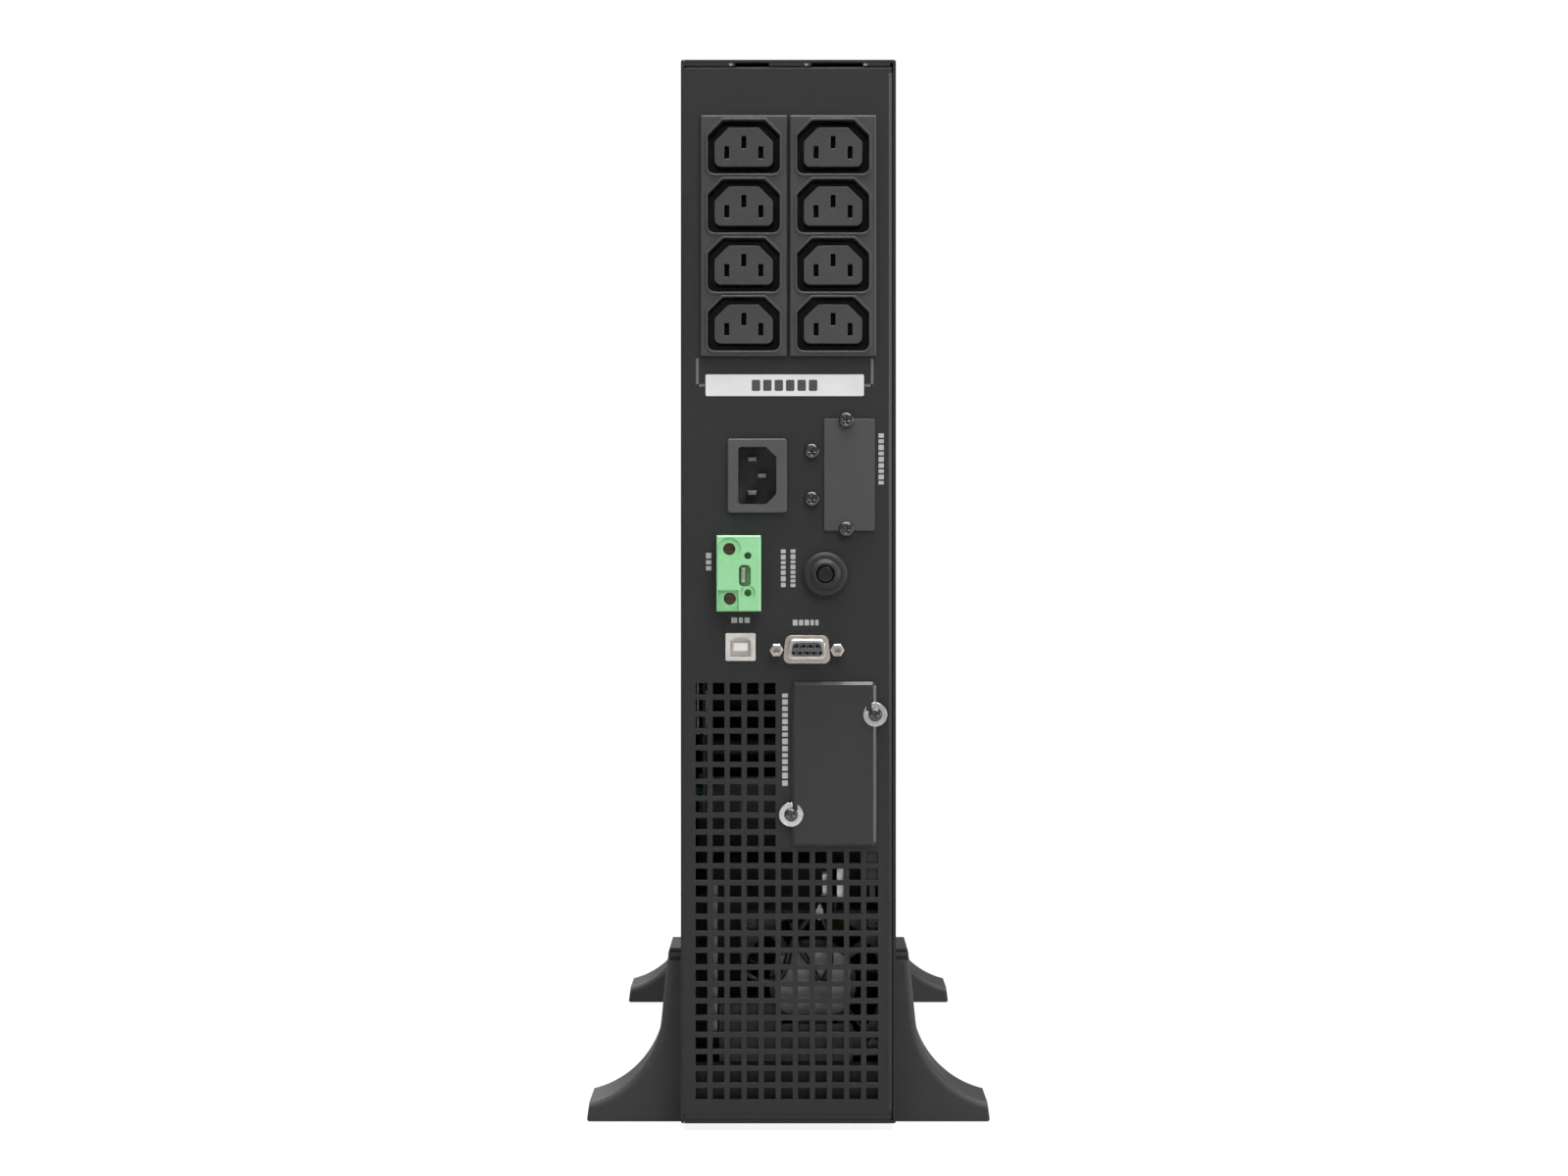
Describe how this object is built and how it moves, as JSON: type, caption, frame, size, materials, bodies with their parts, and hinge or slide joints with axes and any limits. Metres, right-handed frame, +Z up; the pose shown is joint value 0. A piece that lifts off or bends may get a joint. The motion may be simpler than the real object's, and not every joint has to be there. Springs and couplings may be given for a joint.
{
  "type": "rackmount ups",
  "caption": "Slim rack or tower uninterruptible power supply on tower feet, with a socketed rear panel, vent field, fan, moulded front, turning display and sliding battery drawer.",
  "frame": {"origin": "on the floor under the centre of the bounding box", "axes": "+Z up, rear panel with its sockets facing +Y, moulded front facing -Y, X across the slim width"},
  "size_m": [0.1682, 0.445, 0.441],
  "materials": {
    "powder_coat": "fine matt black powder coat",
    "panel_coat": "fine matt black powder coat",
    "cover_coat": "matt dark grey powder coat",
    "port_cover_coat": "matt grey powder coat",
    "button_black": "black moulded plastic",
    "lead_and_plug": "white nylon plug on black wire",
    "bare_steel": "zinc-plated sheet",
    "bright_steel": "bright zinc plating",
    "brown_steel": "dull brownish plating",
    "black_screw": "black zinc",
    "nickel": "satin nickel plating",
    "contact_brass": "plated brass",
    "outlet_plastic": "moulded dark grey plastic",
    "inlet_plastic": "moulded dark grey plastic",
    "breaker_plastic": "moulded black plastic",
    "port_plastic": "moulded black plastic",
    "plug_green": "pale green moulded plastic",
    "white_plastic": "white nylon",
    "connector_grey": "grey moulded plastic",
    "fan_plastic": "black glass-filled plastic",
    "motor_varnish": "varnished winding",
    "circuit_board": "green solder mask",
    "capacitor_sleeve": "dark shrink sleeve",
    "heat_sink_alloy": "extruded alloy",
    "core_iron": "laminated iron",
    "coil_tape": "yellow coil tape",
    "battery_case": "moulded battery case",
    "lead_red": "red cable sheath",
    "bezel_plastic": "fine textured black plastic",
    "grille_plastic": "textured black plastic",
    "display_plastic": "satin black plastic",
    "display_glass": "tinted clear window",
    "display_face": "liquid-crystal panel",
    "button_plastic": "grey button",
    "foot_plastic": "moulded black plastic",
    "pad_rubber": "black rubber"
  },
  "bodies": {
    "chassis": {"chassis_tray": "powder_coat", "side_cover": "powder_coat", "rear_panel": "panel_coat", "front_frame": "bare_steel", "divider": "bare_steel", "cover_screws": "black_screw", "panel_screws": "black_screw", "slot_screws": "black_screw", "slot_washers": "bright_steel", "fan_screws": "black_screw", "outlet_strip_left": "outlet_plastic", "outlet_strip_right": "outlet_plastic", "outlet_contacts": "contact_brass", "inlet_housing": "inlet_plastic", "inlet_pins": "nickel", "battery_port_cover": "port_cover_coat", "epo_socket": "plug_green", "breaker_body": "breaker_plastic", "breaker_nut": "breaker_plastic", "usb_shell": "nickel", "usb_tongue": "white_plastic", "serial_shell": "nickel", "serial_insert": "port_plastic", "jack_screws": "nickel", "slot_cover": "cover_coat", "slot_cage": "bare_steel", "fan_frame": "fan_plastic", "fan_stator": "motor_varnish", "fan_bracket": "panel_coat", "fan_lead": "lead_and_plug", "main_board": "circuit_board", "capacitors": "capacitor_sleeve", "heat_sinks": "heat_sink_alloy", "transformer_core": "core_iron", "transformer_coil": "coil_tape", "interface_board": "circuit_board", "battery_socket": "connector_grey", "foot_rear_left": "foot_plastic", "foot_rear_right": "foot_plastic", "foot_front_left": "foot_plastic", "foot_front_right": "foot_plastic", "foot_pads": "pad_rubber"},
    "moulded_front": {"front_bezel": "bezel_plastic", "bezel_grille": "grille_plastic"},
    "display": {"display_housing": "display_plastic", "display_window": "display_glass", "display_panel": "display_face"},
    "on_key": {"on_button": "button_plastic"},
    "off_key": {"off_button": "button_plastic"},
    "select_key": {"select_button": "button_plastic"},
    "battery_drawer": {"battery_tray": "bare_steel", "batteries": "battery_case", "battery_leads": "lead_red", "battery_plug": "connector_grey", "tray_screws": "bright_steel"},
    "emergency_plug": {"epo_plug": "plug_green", "epo_screws": "brown_steel", "epo_link": "nickel"},
    "breaker_reset": {"breaker_button": "button_black"},
    "fan_wheel": {"fan_rotor": "fan_plastic"}
  },
  "joints": [
    {"name": "drawer_slide", "type": "slide", "parent": "chassis", "child": "battery_drawer", "axis": [0, -1, 0], "range_m": [0, 0.18]},
    {"name": "front_pull", "type": "slide", "parent": "chassis", "child": "moulded_front", "axis": [0, -1, 0], "range_m": [0, 0.252]},
    {"name": "display_turn", "type": "hinge", "parent": "moulded_front", "child": "display", "pos_m": [0, -0.2225, 0.353], "axis": [0, 1, 0], "range_deg": [0, 90]},
    {"name": "on_press", "type": "slide", "parent": "display", "child": "on_key", "axis": [0, 1, 0], "range_m": [0, 0.001], "stiffness_N_per_m": 400},
    {"name": "off_press", "type": "slide", "parent": "display", "child": "off_key", "axis": [0, 1, 0], "range_m": [0, 0.001], "stiffness_N_per_m": 400},
    {"name": "select_press", "type": "slide", "parent": "display", "child": "select_key", "axis": [0, 1, 0], "range_m": [0, 0.001], "stiffness_N_per_m": 400},
    {"name": "plug_pull", "type": "slide", "parent": "chassis", "child": "emergency_plug", "axis": [0, 1, 0], "range_m": [0, 0.012]},
    {"name": "breaker_trip", "type": "slide", "parent": "chassis", "child": "breaker_reset", "axis": [0, 1, 0], "range_m": [0, 0.004]},
    {"name": "fan_spin", "type": "hinge", "parent": "chassis", "child": "fan_wheel", "pos_m": [-0.01, 0.1905, 0.06], "axis": [0, 1, 0], "continuous": true}
  ],
  "couplings": [
    {"joint": "front_pull", "follows": "drawer_slide", "ratio": 1.4}
  ]
}
